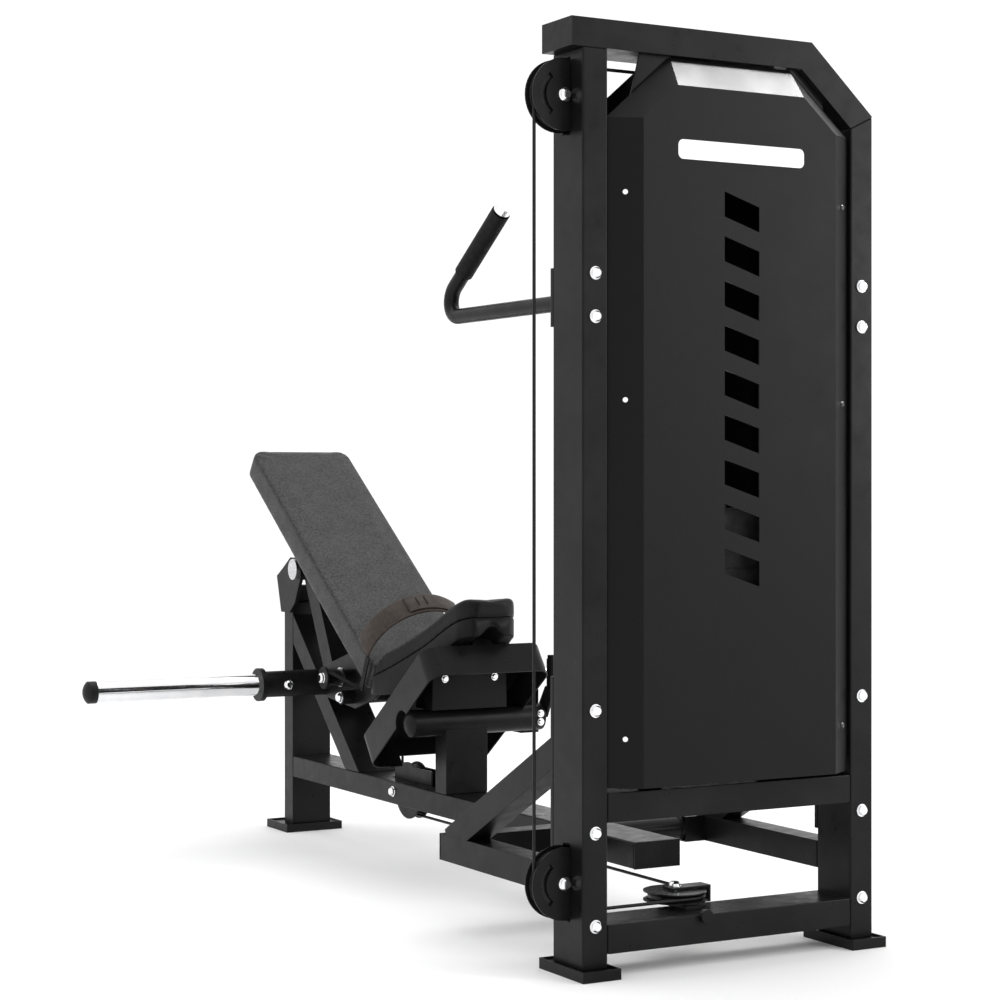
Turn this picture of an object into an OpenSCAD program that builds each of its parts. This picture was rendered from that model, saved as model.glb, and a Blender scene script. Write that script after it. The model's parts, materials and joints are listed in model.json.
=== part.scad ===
/* [Tower] */
// Width of the tower across its uprights
tower_w = 620; // [600:5:640]
// Height of the tower
tower_h = 1640; // [1600:10:1700]
// Narrow side of the frame tube
tube_w = 50; // [48:1:52]
// Broad side of the frame tube
tube_d = 100; // [98:1:104]
// Wall of the frame tube
wall = 3; // [2:0.5:4]
// Underside of the lower cross beam
low_beam_z = 40; // [36:1:42]
// Underside of the middle cross beam
mid_beam_z = 265; // [258:1:270]

/* [Shroud] */
// Depth of the front shroud's bevel
shroud_rise = 36; // [30:1:38]
// Width of the front shroud's bevel
bevel_w = 53; // [45:1:58]
// Sheet thickness of both shrouds
sheet_t = 2; // [1.5:0.5:3]
// Slots in the column down the front shroud
slot_count = 9; // [6:1:9]

/* [Weight stack] */
// Plates in the stack
plate_count = 9; // [7:1:9]
// Plates above the selector pin
lifted_count = 3; // [1:1:5]
// Thickness of one plate
plate_t = 52; // [48:1:53]
// Width of one plate
plate_w = 300; // [280:5:320]
// Radius of a guide rod
rod_r = 12.5; // [11:0.5:13]

/* [Base] */
// Underside of the base frame
base_z = 132; // [130:1:136]
// Distance from the tower's front to the bench upright
bench_y = 1780; // [1776:1:1784]
// Distance from the tower's front to the rear end of the side rails
rail_end_y = 520; // [500:5:560]
// Distance from the tower's front to the front end of the base beam
beam_start_y = 246; // [220:2:260]

/* [Moving arm] */
// Distance from the tower's front to the arm's axle
axle_y = 1746; // [1744:1:1748]
// Height of the arm's axle
axle_z = 636; // [634:1:638]
// Radius of the axle
axle_r = 15; // [13:0.5:16]
// Radius of a plate horn
horn_r = 25; // [24:0.1:25]
// Distance from the middle to the tip of a plate horn
horn_tip_x = 656; // [620:2:680]

/* [Upholstery] */
// Length of the back pad
pad_len = 836; // [790:1:850]
// Width of the back pad
pad_w = 260; // [250:2:264]
// Foam thickness of the back pad
foam_t = 50; // [44:1:52]
// Slope of the back pad
pad_slope = 35.5; // [35:0.1:36]

/* [Cable and pulleys] */
// Outer radius of a pulley
pulley_r = 57; // [56:0.5:58]
// Width of a pulley
pulley_w = 18; // [16:0.5:18]
// Radius of the cable
cable_r = 3; // [2.5:0.1:3]

/* [Hidden] */

// Every distance y is measured back from the tower's front face. The origin is
// on the floor at the middle of the whole machine.
shroud_y = 8;
front_y = shroud_y - shroud_rise;
rear_y = 1884;
origin_y = (front_y + rear_y) / 2;

half_w = tower_w / 2;
inner_x = half_w - tube_w;
upright_x = half_w - tube_w / 2;
beam_x = tube_d / 2;
foot_t = 15;
round_fn = 64;
hull_fn = 32;
gap = 0.4;
running = 0.06;
joint = 0.05;

beam_top = base_z + tube_w;
mid_top = mid_beam_z + tube_w;
low_top = low_beam_z + tube_w;
top_z = tower_h - tube_w;

// Mitred corner of the top beam
beam_overhang = 19;
mitre_out = [173, tower_h];
mitre_in = [150, top_z];
elbow_out = [half_w, tower_h - 124];
elbow_in = [inner_x, tower_h - 148];

bolt_r = 5;
bolt_head_r = 9.5;
washer_t = 1.5;
bolt_zs = [90, 249, 458, 1131, 1205];
screw_zs = [408, 989, 1345];

// Front shroud
shroud_x = inner_x - 2;
shroud_z = mid_top + 8;
shroud_top = top_z - 3;
chamfer_z = 1474;
flange_top_x = 128;
face_top_x = 134;
face_top = 1534;
face_x = shroud_x - bevel_w;
slot_w = 74;
slot_h = 44;
slot_pitch = 78;
slot_start_z = 688;
slot_lean = 24;

// Weight stack
cable_y = 54;
plate_d = 80;
plate_neck = 3;
plate_inset = 2;
buffer_h = 18;
stack_z = mid_top + buffer_h;
rod_x = 128;
rod_y = cable_y + rod_r + cable_r + 2.5;
lifted_z = stack_z + (plate_count - lifted_count) * plate_t + gap;
stack_top = stack_z + plate_count * plate_t + gap;
selector_r = 11;
collar_h = 24;
pin_r = 5;
pin_z = lifted_z + (plate_t - plate_neck) / 2;
access_x = 42;
access_z = [340, 1180];

// Cable route
groove_r = 49;
wrap_r = groove_r + cable_r + gap;
outer_x = -322;
top_outer_z = 1512;
bottom_outer_z = 160;
high_cable_z = top_outer_z + wrap_r;
low_cable_z = bottom_outer_z - wrap_r;
flat_y = cable_y + wrap_r;
beam_pulley_y = 1238;
arm_cable_y = beam_pulley_y + wrap_r;
anchor_z = 326;
pulley_bolt_r = 6;
cheek_r = 63;
cheek_t = 3;
cheek_gap = 2;
cheek_y = cable_y - pulley_w / 2 - cheek_gap - cheek_t;

// Handles
handle_z = 1161;
handle_r = 14.5;
handle_bend = 32;
handle_bend_y = 494;
handle_turn = 142;
handle_lean = 4;
grip_start = 40;
grip_end = 206;
handle_end = 210;

// Rest for the moving arm
rest_y = 1011;
rest_z = 335;
rest_r = 29;
rest_left = -136;
rest_right = 194;
tray_slope = 36.5;
tray_top = [911, 504.6];
tray_len = 378;
tray_w = 286;
tray_rim = 70;
tray_round = 32;
tray_drop = 3 / cos(tray_slope);
bracket_front = 38;
buffer_r = 27;
buffer_sink = 8;
buffer_len = 42;
lever_x = 199;
lever_y = 985;
lever_pivot_y = 1008;
lever_pivot_z = 350;
lever_pivot_r = 6;

// Moving arm
arm_slope = 62.2;
crossbar_y = 1560;
crossbar_z = 380;
crossbar_r = 30;
crossbar_x = 226;
horn_root_x = 86;
spigot_r = 20;
horn_cap_len = 28;
shaft_x = 102;
strap_post_x = 146;
post_r = 17;
rail_h = 22;
flange_r = 38;
flange_t = 12;
housing_r = 26;
arm_len = 400;
ear_x = beam_x + 1;
ear_t = 8;
post_y = 1400;
post_z = 404;
shaft_z = 358;
shaft_r = 16;
saddle_line = [[1222, 372], [1127, 376], [1012, 424], [930, 494], [872, 520]];
saddle_top = [[1222, 452], [1127, 490], [1012, 541], [930, 582], [872, 604]];
shell_low = 8;
saddle_foam = 46;
saddle_seam = raised(saddle_top, -saddle_foam);
gusset_x = 62;
gusset_t = 8;
board_t = 16;
pad_start = [1211, 389];
belt_x = pad_w / 2 + 4;
belt_t = 4;
belt_w = 58;
belt_along = 26;
belt_centre = 66;

// A point on the back pad: along it from its lower end, and out from its back
function pad_at(along, out) = [
    pad_start[0] + along * cos(pad_slope) - out * sin(pad_slope),
    pad_start[1] + along * sin(pad_slope) + out * cos(pad_slope)
];

module from_front() {
    translate([0, -origin_y, 0]) children();
}

module both_sides() {
    children();
    mirror([1, 0, 0]) children();
}

// A straight tube of frame stock, open at both ends along the named axis
module tube(size, axis) {
    difference() {
        cube(size);
        translate([for (i = [0:2]) i == axis ? -1 : wall])
            cube([for (i = [0:2]) i == axis ? size[i] + 2 : size[i] - 2 * wall]);
    }
}

// A tube that slopes up along y from a point on its centre line
module sloped_tube(start, angle, len, width, depth) {
    translate([0, start[0], start[1]]) rotate([angle, 0, 0])
        translate([-width / 2, 0, -depth / 2]) tube([width, len, depth], 1);
}

// A plate cut to an outline of [y, z] points between two values of x
module side_plate(left, right, outline) {
    translate([left, 0, 0]) rotate([90, 0, 90]) linear_extrude(right - left) polygon(outline);
}

// A plate cut to an outline of [x, z] points between two values of y
module front_plate(near, far, outline) {
    translate([0, far, 0]) rotate([90, 0, 0]) linear_extrude(far - near) polygon(outline);
}

module rod_along_x(left, right, y, z, r) {
    translate([left, y, z]) rotate([0, 90, 0]) cylinder(h = right - left, r = r, $fn = round_fn);
}

module rod_along_y(near, far, x, z, r) {
    translate([x, near, z]) rotate([-90, 0, 0]) cylinder(h = far - near, r = r, $fn = round_fn);
}

module rod_along_z(low, high, x, y, r) {
    translate([x, y, low]) cylinder(h = high - low, r = r, $fn = round_fn);
}

// A washer and a domed bolt head that face -y
module bolt_head(r = bolt_head_r) {
    rotate([90, 0, 0]) {
        cylinder(h = washer_t, r = r + 2, $fn = round_fn);
        intersection() {
            sphere(r = r + washer_t, $fn = round_fn);
            cylinder(h = 0.75 * r + washer_t, r = r, $fn = round_fn);
        }
    }
}

// A domed bolt with a shank that runs along +y
module dome_bolt(shank, r = bolt_r, head = bolt_head_r) {
    bolt_head(head);
    rotate([-90, 0, 0]) cylinder(h = shank, r = r, $fn = round_fn);
}

module upright_bolt_holes() {
    for (z = bolt_zs) rod_along_y(-1, wall + 1, upright_x, z, bolt_r + gap);
}

module left_upright() {
    slot_half = pulley_r + 8;
    color("#1c1c1e") from_front() difference() {
        translate([-half_w, 0, foot_t]) tube([tube_w, tube_d, top_z - foot_t], 2);
        mirror([1, 0, 0]) upright_bolt_holes();
        for (z = [top_outer_z, bottom_outer_z])
            translate([-half_w - 1, cheek_y + cheek_t, z - slot_half])
                cube([wall + 2, pulley_w + 2 * cheek_gap, 2 * slot_half]);
        for (z = [high_cable_z, low_cable_z])
            rod_along_x(-inner_x - wall - 1, -inner_x + 1, cable_y, z, 8);
    }
}

module right_upright() {
    color("#1c1c1e") from_front() difference() {
        translate([inner_x, 0, foot_t]) tube([tube_w, tube_d, elbow_out[1] - foot_t], 2);
        upright_bolt_holes();
        front_plate(-1, tube_d + 1, [
            elbow_in + [-1, -0.48], elbow_out + [1, 0.48], [half_w + 1, tower_h], [inner_x - 1, tower_h]
        ]);
    }
}

module top_beam() {
    left = -half_w - beam_overhang;
    rise = tan(21) * wall;
    turn = tan(24) * wall;
    color("#1c1c1e") from_front() difference() {
        front_plate(0, tube_d, [
            [left, top_z], mitre_in, elbow_in, elbow_out, mitre_out, [left, tower_h]
        ]);
        front_plate(wall, tube_d - wall, [
            [left - 1, top_z + wall], mitre_in + [rise, wall], elbow_in + [wall, turn],
            elbow_in + [wall, -wall], elbow_out + [-wall, -wall], elbow_out + [-wall, -turn],
            mitre_out + [-rise, -wall], [left - 1, tower_h - wall]
        ]);
    }
}

module tube_caps() {
    cap_t = 3;
    color("#111112") from_front() {
        translate([-half_w - beam_overhang - cap_t, 0, top_z]) cube([cap_t, tube_d, tube_w]);
        translate([-beam_x, beam_start_y - cap_t, base_z]) cube([tube_d, cap_t, tube_w]);
        both_sides() translate([inner_x, rail_end_y, base_z]) cube([tube_w, cap_t, tube_w]);
    }
}

module cross_beam(z) {
    from_front() translate([-inner_x, 0, z]) tube([2 * inner_x, tube_d, tube_w], 0);
}

module middle_cross_beam() {
    color("#1c1c1e") cross_beam(mid_beam_z);
}

module lower_cross_beam() {
    color("#1c1c1e") cross_beam(low_beam_z);
}

// A rubber-edged plate with a raised lip round its top
module foot_pad(size) {
    lip = 4;
    difference() {
        cube([size[0], size[1], foot_t + lip]);
        translate([lip, lip, foot_t]) cube([size[0] - 2 * lip, size[1] - 2 * lip, lip + 1]);
    }
}

module feet() {
    color("#161617") from_front() {
        both_sides() translate([upright_x - 38, -24, 0]) foot_pad([76, 150]);
        translate([-73, rear_y - 122, 0]) foot_pad([146, 122]);
    }
}

module shroud_form(shift) {
    hull() {
        front_plate(shroud_y - 0.5 + shift, shroud_y + shift, [
            [-shroud_x, shroud_z], [-shroud_x, chamfer_z], [-flange_top_x, shroud_top],
            [flange_top_x, shroud_top], [shroud_x, chamfer_z], [shroud_x, shroud_z]
        ]);
        front_plate(shroud_y - shroud_rise + shift, shroud_y - shroud_rise + 0.5 + shift, [
            [-face_x, shroud_z], [-face_x, chamfer_z - 2], [-face_top_x, face_top],
            [face_top_x, face_top], [face_x, chamfer_z - 2], [face_x, shroud_z]
        ]);
    }
}

module front_shroud() {
    color("#232326") from_front() difference() {
        shroud_form(0);
        shroud_form(sheet_t + 0.5);
        for (i = [0:slot_count - 1]) front_plate(shroud_y - shroud_rise - 1, shroud_y, [
            [-slot_w / 2, slot_start_z + i * slot_pitch],
            [slot_w / 2, slot_start_z + i * slot_pitch - slot_lean],
            [slot_w / 2, slot_start_z + i * slot_pitch - slot_lean + slot_h],
            [-slot_w / 2, slot_start_z + i * slot_pitch + slot_h]
        ]);
    }
}

module rear_shroud() {
    near = tube_d - sheet_t - 1;
    color("#1a1a1c") from_front() difference() {
        front_plate(near, near + sheet_t, [
            [-shroud_x, shroud_z], [-shroud_x, chamfer_z], [-flange_top_x, shroud_top],
            [flange_top_x, shroud_top], [shroud_x, chamfer_z], [shroud_x, shroud_z]
        ]);
        translate([-access_x, near - 1, access_z[0]])
            cube([2 * access_x, sheet_t + 2, access_z[1] - access_z[0]]);
    }
}

module shroud_hangers() {
    hang_z = 1508;
    color("#0e0e0f") from_front() {
        front_plate(12, 15, [[-208, hang_z], [-150, hang_z], [-126, top_z], [-188, top_z]]);
        front_plate(12, 15, [
            [150, hang_z], [206, hang_z], [206, hang_z + 30], [mitre_in[0] - 2, top_z], [126, top_z]
        ]);
    }
}

module guide_rods() {
    color("#d8d8dc") from_front() both_sides() rod_along_z(mid_top, top_z, rod_x, rod_y, rod_r);
}

module stack_buffers() {
    color("#0c0c0c") from_front() both_sides() difference() {
        rod_along_z(mid_top, stack_z, rod_x, rod_y, rod_r + 9);
        rod_along_z(mid_top - 1, stack_z + 1, rod_x, rod_y, rod_r);
    }
}

// One weight plate: its neck sets it apart from the plate above
module weight_plate(z) {
    body_h = plate_t - plate_neck;
    difference() {
        union() {
            translate([-plate_w / 2, cable_y - plate_d / 2, z]) cube([plate_w, plate_d, body_h]);
            translate([plate_inset - plate_w / 2, cable_y - plate_d / 2 + plate_inset, z])
                cube([plate_w - 2 * plate_inset, plate_d - 2 * plate_inset, plate_t]);
        }
        for (x = [-rod_x, rod_x]) rod_along_z(z - 1, z + plate_t + 1, x, rod_y, rod_r + 1);
        rod_along_z(z - 1, z + plate_t + 1, 0, cable_y, selector_r + 1);
        rod_along_y(cable_y, cable_y + plate_d, 0, z + body_h / 2, pin_r + gap);
    }
}

module resting_plates() {
    color("#2c2c2e") from_front()
        for (i = [0:plate_count - lifted_count - 1]) weight_plate(stack_z + i * plate_t);
}

module lifted_plates() {
    color("#2c2c2e") from_front()
        for (i = [0:lifted_count - 1]) weight_plate(lifted_z + i * plate_t);
}

module selector_rod() {
    color("#c9c9cd") from_front() difference() {
        union() {
            rod_along_z(stack_z + 6, stack_top + collar_h, 0, cable_y, selector_r);
            rod_along_z(stack_top, stack_top + collar_h, 0, cable_y, selector_r + 8);
        }
        for (i = [0:plate_count - 1]) rod_along_y(
            cable_y - selector_r - 1, cable_y + selector_r + 1, 0,
            pin_z + (i + lifted_count - plate_count) * plate_t, pin_r + gap
        );
    }
}

module selector_pin() {
    knob_y = tube_d + 8;
    color("#b3231f") from_front() {
        rod_along_y(cable_y - selector_r + 1, knob_y, 0, pin_z, pin_r);
        rod_along_y(knob_y, knob_y + 8, 0, pin_z, pin_r + 4);
        rod_along_y(knob_y + 8, knob_y + 34, 0, pin_z, 15);
    }
}

module frame_bolts() {
    screw_y = shroud_y - shroud_rise / 2;
    color("#d9dade") from_front() {
        both_sides() {
            for (z = bolt_zs) translate([upright_x, 0, z]) dome_bolt(wall + 4);
            for (z = screw_zs) translate([shroud_x - bevel_w / 2, screw_y - 1.3, z])
                rotate([90, 0, atan(shroud_rise / bevel_w)]) cylinder(h = 3, r = 4.5, $fn = round_fn);
            translate([60, rest_y - bracket_front, 430]) bolt_head(6);
        }
        translate([-beam_x, beam_pulley_y, bottom_outer_z]) rotate([0, 0, -90]) bolt_head();
        for (z = [-9, 9]) translate([rest_right - 14, rest_y - rest_r, rest_z + z]) bolt_head(6);
    }
}

// Follows the handle round its bend; children start there and run along +y
module after_bend() {
    translate([-upright_x, handle_bend_y, handle_z]) rotate([0, handle_lean, 0])
        translate([0, 0, handle_bend]) rotate([handle_turn, 0, 0]) translate([0, 0, -handle_bend])
            children();
}

module handles() {
    color("#1c1c1e") from_front() both_sides() {
        translate([-half_w, tube_d, handle_z - 43]) cube([tube_w, 8, 102]);
        rod_along_y(tube_d + 8, handle_bend_y - joint, -upright_x, handle_z, handle_r);
        translate([-upright_x, handle_bend_y, handle_z]) rotate([0, handle_lean, 0])
            translate([0, 0, handle_bend]) rotate([0, 90, 0])
                rotate_extrude(angle = handle_turn, $fn = round_fn)
                    translate([handle_bend, 0]) circle(r = handle_r, $fn = round_fn);
        after_bend() rod_along_y(joint, handle_end, 0, 0, handle_r);
    }
}

module handle_grips() {
    color("#0d0d0d") from_front() both_sides() after_bend() difference() {
        rod_along_y(grip_start, grip_end, 0, 0, handle_r + 3.5);
        rod_along_y(grip_start - 1, grip_end + 1, 0, 0, handle_r + running);
    }
}

module handle_caps() {
    color("#d9dade") from_front() both_sides() after_bend()
        rod_along_y(handle_end, handle_end + 14, 0, 0, handle_r + 2);
}

module pulley(r = pulley_r) {
    lip = (pulley_w - 2 * cable_r - 2) / 2;
    half = pulley_w / 2;
    rotate_extrude($fn = 96) polygon([
        [pulley_bolt_r + running, -half], [r, -half], [r, -half + lip * 0.4], [groove_r, -cable_r],
        [groove_r, cable_r], [r, half - lip * 0.4], [r, half], [pulley_bolt_r + running, half]
    ]);
}

module top_inner_pulley() {
    color("#101011") from_front() translate([-wrap_r, cable_y, top_outer_z]) rotate([90, 0, 0]) pulley();
}

module top_outer_pulley() {
    color("#101011") from_front() translate([outer_x, cable_y, top_outer_z]) rotate([90, 0, 0]) pulley();
}

module bottom_outer_pulley() {
    color("#101011") from_front() translate([outer_x, cable_y, bottom_outer_z]) rotate([90, 0, 0]) pulley();
}

module flat_pulley() {
    color("#101011") from_front() translate([-wrap_r, flat_y, low_cable_z]) pulley();
}

module beam_pulley() {
    color("#101011") from_front() translate([0, beam_pulley_y, bottom_outer_z]) rotate([0, 90, 0]) pulley();
}

// One cheek of a pulley bracket, flat across y, with its bolt hole
module top_cheek(near) {
    difference() {
        front_plate(near, near + cheek_t, [
            [-wrap_r - 34, top_z], [-wrap_r - 22, top_outer_z - 18], [-wrap_r + 22, top_outer_z - 18],
            [-wrap_r + 34, top_z]
        ]);
        rod_along_y(near - 1, near + cheek_t + 1, -wrap_r, top_outer_z, pulley_bolt_r + running);
    }
}

// A round cheek beside the upright, with an arc slot round its bolt
module outer_cheek(near, z) {
    slot_r = 42;
    difference() {
        intersection() {
            rod_along_y(near, near + cheek_t, outer_x, z, cheek_r);
            translate([-half_w - 2 * cheek_r, near - 1, z - cheek_r])
                cube([2 * cheek_r - gap, cheek_t + 2, 2 * cheek_r]);
        }
        rod_along_y(near - 1, near + cheek_t + 1, outer_x, z, pulley_bolt_r + running);
        translate([outer_x, near - 1, z]) rotate([-90, 0, 0]) rotate([0, 0, 128])
            rotate_extrude(angle = 104, $fn = round_fn) translate([slot_r - 6, 0]) square([10, cheek_t + 2]);
    }
}

module tower_pulley_brackets() {
    color("#161617") from_front() for (near = [cheek_y, 2 * cable_y - cheek_y - cheek_t]) {
        top_cheek(near);
        for (z = [top_outer_z, bottom_outer_z]) outer_cheek(near, z);
    }
}

module flat_pulley_bracket() {
    under = low_cable_z - pulley_w / 2 - cheek_gap;
    over = low_cable_z + pulley_w / 2 + cheek_gap;
    strap_x = pulley_r - wrap_r + 6;
    color("#161617") from_front() {
        difference() {
            union() {
                translate([-wrap_r - 16, flat_y - 60, low_top]) cube([32, 92, under - low_top]);
                translate([-wrap_r - 16, flat_y - 16, under - 4]) cube([strap_x + wrap_r + 20, 32, 4]);
                translate([strap_x, flat_y - 16, under - 4]) cube([4, 32, over - under + 8]);
                translate([-wrap_r - 16, flat_y - 16, over]) cube([strap_x + wrap_r + 20, 32, 4]);
            }
            rod_along_z(low_top - 1, over + 5, -wrap_r, flat_y, pulley_bolt_r + running);
            for (z = [under + 5, over - 5]) rod_along_x(strap_x - 1, strap_x + 5, flat_y, z, 3);
        }
        rod_along_y(-10, 0, -wrap_r - 8, low_top - 2, 12);
    }
}

module beam_pulley_bracket() {
    cheek_x = pulley_w / 2 + cheek_gap;
    color("#161617") from_front() both_sides() difference() {
        union() {
            rod_along_x(cheek_x, cheek_x + cheek_t, beam_pulley_y, bottom_outer_z, cheek_r);
            translate([cheek_x, beam_pulley_y - 115, base_z + 40]) cube([cheek_t, 178, 42]);
        }
        rod_along_x(cheek_x - 1, cheek_x + cheek_t + 1, beam_pulley_y, bottom_outer_z, pulley_bolt_r + running);
    }
}

module pulley_bolts() {
    over = low_cable_z + pulley_w / 2 + cheek_gap + 4;
    end_y = 2 * cable_y - cheek_y;
    color("#d9dade") from_front() {
        for (p = [[-wrap_r, top_outer_z], [outer_x, top_outer_z], [outer_x, bottom_outer_z]])
            translate([p[0], cheek_y, p[1]]) dome_bolt(end_y - cheek_y + 6, pulley_bolt_r, 10);
        translate([-wrap_r, flat_y, over]) rotate([-90, 0, 0])
            dome_bolt(over - low_top, pulley_bolt_r, 10);
        rod_along_x(-beam_x + wall, beam_x - wall, beam_pulley_y, bottom_outer_z, pulley_bolt_r);
    }
}

// A quarter turn of cable in the x-z plane, from an angle above +x
module wrap_xz(x, z, start) {
    translate([x, cable_y, z]) rotate([90, 0, 0]) rotate([0, 0, start])
        rotate_extrude(angle = 90, $fn = 96) translate([wrap_r, 0]) circle(r = cable_r, $fn = 24);
}

module cable_run() {
    color("#101010") from_front() {
        wrap_xz(-wrap_r, top_outer_z, 0);
        rod_along_x(outer_x, -wrap_r, cable_y, high_cable_z, cable_r);
        wrap_xz(outer_x, top_outer_z, 90);
        rod_along_z(bottom_outer_z, top_outer_z, outer_x - wrap_r, cable_y, cable_r);
        wrap_xz(outer_x, bottom_outer_z, 180);
        rod_along_x(outer_x, -wrap_r, cable_y, low_cable_z, cable_r);
        translate([-wrap_r, flat_y, low_cable_z]) rotate([0, 0, -90])
            rotate_extrude(angle = 90, $fn = 96) translate([wrap_r, 0]) circle(r = cable_r, $fn = 24);
        rod_along_y(flat_y, beam_pulley_y, 0, low_cable_z, cable_r);
        translate([0, beam_pulley_y, bottom_outer_z]) rotate([90, 0, 90]) rotate([0, 0, -90])
            rotate_extrude(angle = 90, $fn = 96) translate([wrap_r, 0]) circle(r = cable_r, $fn = 24);
    }
}

module stack_cable() {
    color("#101010") from_front() 
        rod_along_z(stack_top + collar_h + gap, top_outer_z, 0, cable_y, cable_r);
}

module arm_cable() {
    color("#101010") from_front()
        rod_along_z(bottom_outer_z, anchor_z - gap, 0, arm_cable_y, cable_r);
}

module base_beam() {
    slot_x = pulley_w / 2 + cheek_gap + cheek_t + 1;
    color("#1c1c1e") from_front() difference() {
        translate([-beam_x, beam_start_y, base_z]) tube([tube_d, bench_y - beam_start_y, tube_w], 1);
        translate([-slot_x, beam_pulley_y - 116, base_z - 1]) cube([2 * slot_x, 190, tube_w + 2]);
    }
}

module side_rails() {
    color("#1c1c1e") from_front() both_sides()
        translate([inner_x, tube_d, base_z]) tube([tube_w, rail_end_y - tube_d, tube_w], 1);
}

module rear_cross_tubes() {
    y = rail_end_y - tube_w;
    block_x = inner_x - 45;
    round_r = 23;
    color("#1c1c1e") from_front() {
        translate([-inner_x, y, base_z]) tube([inner_x - beam_x, tube_w, tube_w], 0);
        translate([block_x, y, base_z]) tube([45, tube_w, tube_w], 0);
        rod_along_x(beam_x, block_x - 6, y + tube_w / 2, base_z + tube_w / 2, round_r);
        rod_along_x(block_x - 6, block_x, y + tube_w / 2, base_z + tube_w / 2, round_r + 2);
    }
}

module tower_braces() {
    foot_y = rail_end_y;
    slope = 28.2;
    color("#1c1c1e") from_front() both_sides() {
        translate([upright_x, 0, 0]) intersection() {
            sloped_tube([foot_y - 30, beam_top - 12], 180 - slope, 520, tube_w, tube_w);
            translate([-tube_w, tube_d + 8, beam_top]) cube([2 * tube_w, foot_y, 300]);
        }
        translate([inner_x, tube_d, 205]) cube([tube_w, 8, 305]);
    }
}

module bench_upright() {
    color("#1c1c1e") from_front()
        translate([-beam_x, bench_y, foot_t]) tube([tube_d, tube_w, 556 - foot_t], 2);
}

module long_brace() {
    color("#1c1c1e") from_front() intersection() {
        sloped_tube([bench_y - 420, beam_top - 82], 43, 640, tube_d, tube_w);
        translate([-tube_d, 0, beam_top]) cube([2 * tube_d, bench_y, 420]);
    }
}

module axle_bracket() {
    color("#1c1c1e") from_front() {
        both_sides() difference() {
            side_plate(ear_x, ear_x + ear_t, [
                [1748, 556], [1780, 530], [1830, 530], [1856, 617], [1825, 634], [1776, 664],
                [1722, 664], [1714, 620]
            ]);
            rod_along_x(ear_x - 1, ear_x + ear_t + 1, axle_y, axle_z, axle_r + running);
        }
        side_plate(-ear_x, ear_x, [
            [1784, 556], [1828, 556], [1838, 586], [1832, 588], [1824, 562], [1787, 562], [1768, 598], [1762, 595]
        ]);
    }
}

module axle() {
    end = ear_x + ear_t;
    color("#c9cace") from_front() {
        rod_along_x(-end, end, axle_y, axle_z, axle_r);
        both_sides() rod_along_x(end, end + 8, axle_y, axle_z, 25);
    }
}

module rest_post() {
    color("#1c1c1e") from_front() difference() {
        translate([-beam_x, rest_y - tube_w / 2, beam_top])
            tube([tube_d, tube_w, rest_z - beam_top], 2);
        rod_along_x(-tube_d, tube_d, rest_y, rest_z, rest_r);
    }
}

module rest_tube() {
    dome_r = 40;
    color("#1c1c1e") from_front() intersection() {
        rod_along_x(rest_left, rest_right, rest_y, rest_z, rest_r);
        union() {
            translate([rest_left + dome_r, rest_y, rest_z]) sphere(r = dome_r, $fn = round_fn);
            translate([rest_left + dome_r, rest_y - rest_r, rest_z - rest_r])
                cube([rest_right - rest_left, 2 * rest_r, 2 * rest_r]);
        }
    }
}

// A tray outline with round corners, in the plane of its plate
module tray_outline(inset) {
    r = tray_round - inset;
    hull() for (x = [-1, 1], y = [0, 1])
        translate([
            x * (tray_w / 2 - tray_round), y == 0 ? tray_round : tray_len - tray_round
        ]) circle(r = r, $fn = hull_fn);
}

module on_tray() {
    translate([0, tray_top[0], tray_top[1]]) rotate([-tray_slope, 0, 0]) children();
}

module rest_tray() {
    color("#1c1c1e") from_front() difference() {
        on_tray() difference() {
            translate([0, 0, -tray_rim]) linear_extrude(tray_rim) tray_outline(0);
            translate([0, 0, -tray_rim - 1]) linear_extrude(tray_rim - 2) tray_outline(3);
            translate([-60, tray_len - tray_round, -tray_rim - 1]) cube([120, 2 * tray_round, 26]);
        }
        rod_along_x(-tray_w, tray_w, rest_y, rest_z, rest_r);
        translate([-beam_x, rest_y - tube_w / 2, beam_top]) cube([tube_d, tube_w, rest_z - beam_top]);
    }
}

module tray_bracket() {
    face = rest_y - bracket_front;
    back = rest_y + bracket_front;
    low = rest_z + rest_r;
    top_front = tray_top[1] - (face - tray_top[0]) * tan(tray_slope) - tray_drop;
    top_back = tray_top[1] - (back - tray_top[0]) * tan(tray_slope) - tray_drop;
    color("#1c1c1e") from_front() difference() {
        side_plate(-90, 90, [[face, low], [back, low], [back, top_back], [face, top_front]]);
        side_plate(-86, 86, [
            [face + 4, low - 1], [back - 4, low - 1], [back - 4, top_back - 4], [face + 4, top_front - 10]
        ]);
    }
}

module buffer_round(near, far, spare) {
    from_front() on_tray() rod_along_y(near, far, 0, -buffer_sink, buffer_r + spare);
}

module rest_buffer() {
    color("#0c0c0c") intersection() {
        buffer_round(2, 2 + buffer_len, 0);
        from_front() on_tray() translate([-buffer_r, 0, 0]) cube([2 * buffer_r, tray_len, 2 * buffer_r]);
    }
}

module lever_housing() {
    color("#1c1c1e") from_front() {
        difference() {
            translate([rest_right - 44, rest_y + 4, 300]) cube([44, 62, 94]);
            rod_along_x(rest_left, rest_right + 1, rest_y, rest_z, rest_r);
        }
        rod_along_x(rest_right, lever_x + 13, lever_pivot_y, lever_pivot_z, lever_pivot_r);
    }
}

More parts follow.
